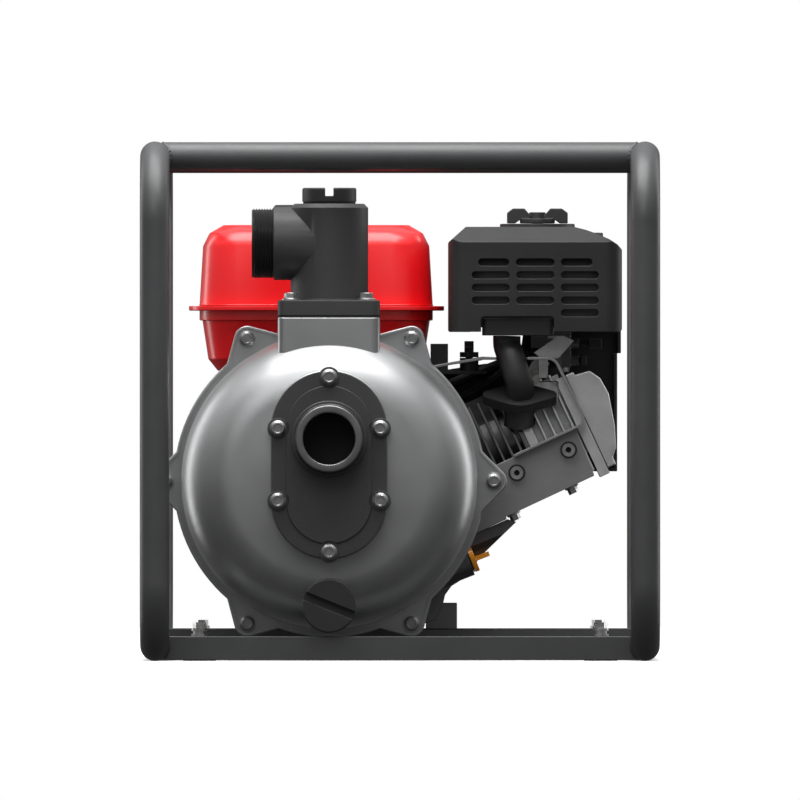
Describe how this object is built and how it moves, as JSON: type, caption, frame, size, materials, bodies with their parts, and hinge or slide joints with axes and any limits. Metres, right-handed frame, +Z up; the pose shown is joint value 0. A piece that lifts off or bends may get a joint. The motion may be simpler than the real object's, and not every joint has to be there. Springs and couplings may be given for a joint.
{
  "type": "portable fire pump",
  "caption": "Self-priming centrifugal pump on a small petrol engine inside a tube carry frame, with suction port, side outlet, fuel tank, muffler and recoil starter.",
  "frame": {"origin": "on the ground, below the middle of the carry frame", "axes": "+X towards the muffler side, +Y from the suction port towards the recoil starter, +Z up"},
  "size_m": [0.44, 0.49, 0.44],
  "materials": {
    "frame_paint": "satin powder coat",
    "cast_aluminium": "satin casting",
    "inner_casting": "as cast",
    "dark_casting": "fine textured paint",
    "black_plug": "moulded",
    "zinc": "zinc plated",
    "rubber": "matt",
    "bronze": "cast",
    "engine_casting": "dark cast finish",
    "head_casting": "cast",
    "shroud_steel": "satin grey paint",
    "machined_steel": "machined",
    "black_steel": "heat-proof matt paint",
    "black_plastic": "moulded",
    "tank_red": "gloss",
    "red_plastic": "gloss",
    "orange_plastic": "gloss",
    "ceramic": "glazed",
    "rope_fibre": "braided",
    "filter_foam": "pleated paper and foam"
  },
  "bodies": {
    "frame": {"frame_hoops": "frame_paint", "cross_tubes": "frame_paint", "base_rails": "frame_paint", "rubber_feet": "rubber", "frame_bolts": "zinc", "pump_bracket": "cast_aluminium", "pump_casing": "cast_aluminium", "pump_gaskets": "rubber", "casing_bolts": "zinc", "volute": "inner_casting", "mechanical_seal": "machined_steel", "suction_cover": "dark_casting", "suction_cover_bolts": "zinc", "outlet_tower": "dark_casting", "outlet_bolts": "zinc", "engine_block": "engine_casting", "crankcase_cover": "engine_casting", "cylinder_liner": "inner_casting", "crank_bearings": "machined_steel", "cylinder_head": "head_casting", "valve_cover": "head_casting", "cylinder_shroud": "shroud_steel", "engine_screws": "zinc", "spark_plug": "ceramic", "ignition_lead": "rubber", "ignition_coil": "black_plastic", "blower_housing": "black_steel", "recoil_cover": "red_plastic", "exhaust_pipe": "black_steel", "muffler_body": "black_steel", "muffler_shield": "black_steel", "muffler_stay": "zinc", "fuel_tank": "tank_red", "fuel_hose": "rubber", "carburetor": "head_casting", "air_cleaner_base": "black_plastic", "air_filter_element": "filter_foam", "control_plate": "black_steel"},
    "crank": {"crankshaft": "machined_steel", "flywheel": "inner_casting", "starter_cup": "machined_steel", "impeller": "bronze"},
    "reel": {"recoil_reel": "black_plastic"},
    "starter_grip": {"starter_handle": "black_plastic", "starter_rope": "rope_fibre"},
    "flap": {"check_valve_flap": "rubber"},
    "priming_seal": {"priming_plug_seal": "rubber"},
    "priming": {"priming_plug": "black_plug"},
    "drain_seal": {"drain_plug_seal": "rubber"},
    "drain": {"drain_plug": "black_plug"},
    "cap_seal": {"fuel_cap_seal": "rubber"},
    "cap": {"fuel_cap": "black_plastic"},
    "oil_seal": {"dipstick_seal": "rubber"},
    "oil_stick": {"dipstick": "orange_plastic"},
    "filter_cover": {"air_cleaner_cover": "black_plastic"},
    "filter_knob": {"air_cleaner_knob": "black_plastic"},
    "throttle": {"throttle_lever": "black_plastic"},
    "choke": {"choke_lever": "black_plastic"},
    "fuel_valve": {"fuel_valve_lever": "black_plastic"},
    "switch": {"engine_switch": "red_plastic"}
  },
  "joints": [
    {"name": "crank_spin", "type": "hinge", "parent": "frame", "child": "crank", "pos_m": [-0.06, 0, 0.122], "axis": [0, -1, 0], "continuous": true},
    {"name": "reel_turn", "type": "hinge", "parent": "frame", "child": "reel", "pos_m": [-0.06, 0.173, 0.122], "axis": [0, -1, 0], "range_deg": [0, 636.6], "stiffness_Nm_per_rad": 0.05, "springref_deg": -458.37},
    {"name": "starter_pull", "type": "slide", "parent": "frame", "child": "starter_grip", "axis": [-0.9397, 0, 0.342], "range_m": [0, 0.601], "deforming": ["starter_rope"]},
    {"name": "flap_swing", "type": "hinge", "parent": "frame", "child": "flap", "pos_m": [-0.06, -0.174, 0.2195], "axis": [1, 0, 0], "range_deg": [0, 55]},
    {"name": "priming_plug_lift", "type": "slide", "parent": "frame", "child": "priming_seal", "axis": [0, 0, 1], "range_m": [0, 0.01387]},
    {"name": "priming_plug_turn", "type": "hinge", "parent": "priming_seal", "child": "priming", "pos_m": [-0.06, -0.112, 0.3891], "axis": [0, 0, 1], "range_deg": [0, 2160]},
    {"name": "drain_plug_out", "type": "slide", "parent": "frame", "child": "drain_seal", "axis": [0, -1, 0], "range_m": [0, 0.01387]},
    {"name": "drain_plug_turn", "type": "hinge", "parent": "drain_seal", "child": "drain", "pos_m": [-0.06, -0.1755, 0.0468], "axis": [0, -1, 0], "range_deg": [0, 2160]},
    {"name": "fuel_cap_lift", "type": "slide", "parent": "frame", "child": "cap_seal", "axis": [0, 0, 1], "range_m": [0, 0.01201]},
    {"name": "fuel_cap_turn", "type": "hinge", "parent": "cap_seal", "child": "cap", "pos_m": [-0.0715, 0.07, 0.38], "axis": [0, 0, 1], "range_deg": [0, 720]},
    {"name": "dipstick_out", "type": "slide", "parent": "frame", "child": "oil_seal", "axis": [0.9304, 0, 0.3665], "range_m": [0, 0.01001]},
    {"name": "dipstick_turn", "type": "hinge", "parent": "oil_seal", "child": "oil_stick", "pos_m": [0.0625, -0.012, 0.085], "axis": [0.9304, 0, 0.3665], "range_deg": [0, 1440]},
    {"name": "filter_cover_lift", "type": "slide", "parent": "frame", "child": "filter_cover", "axis": [0, 0, 1], "range_m": [0, 0.1]},
    {"name": "filter_knob_turn", "type": "hinge", "parent": "filter_cover", "child": "filter_knob", "pos_m": [0.1175, 0.103, 0.375], "axis": [0, 0, 1], "range_deg": [0, 1440]},
    {"name": "throttle_turn", "type": "hinge", "parent": "frame", "child": "throttle", "pos_m": [0.059, 0.04, 0.257], "axis": [0, 0, 1], "range_deg": [0, 35]},
    {"name": "choke_turn", "type": "hinge", "parent": "frame", "child": "choke", "pos_m": [0.15, 0.072, 0.269], "axis": [1, 0, 0], "range_deg": [-35, 0]},
    {"name": "fuel_valve_turn", "type": "hinge", "parent": "frame", "child": "fuel_valve", "pos_m": [0.15, 0.072, 0.255], "axis": [1, 0, 0], "range_deg": [-35, 0]},
    {"name": "switch_turn", "type": "hinge", "parent": "frame", "child": "switch", "pos_m": [0.01, 0.155, 0.22], "axis": [0, 1, 0], "range_deg": [0, 60]}
  ],
  "couplings": [
    {"joint": "starter_pull", "follows": "reel_turn", "m_per_rad": 0.054},
    {"joint": "priming_plug_lift", "follows": "priming_plug_turn", "m_per_rad": 0.00036765},
    {"joint": "drain_plug_out", "follows": "drain_plug_turn", "m_per_rad": 0.00036765},
    {"joint": "fuel_cap_lift", "follows": "fuel_cap_turn", "m_per_rad": 0.00095493},
    {"joint": "dipstick_out", "follows": "dipstick_turn", "m_per_rad": 0.00039789}
  ]
}
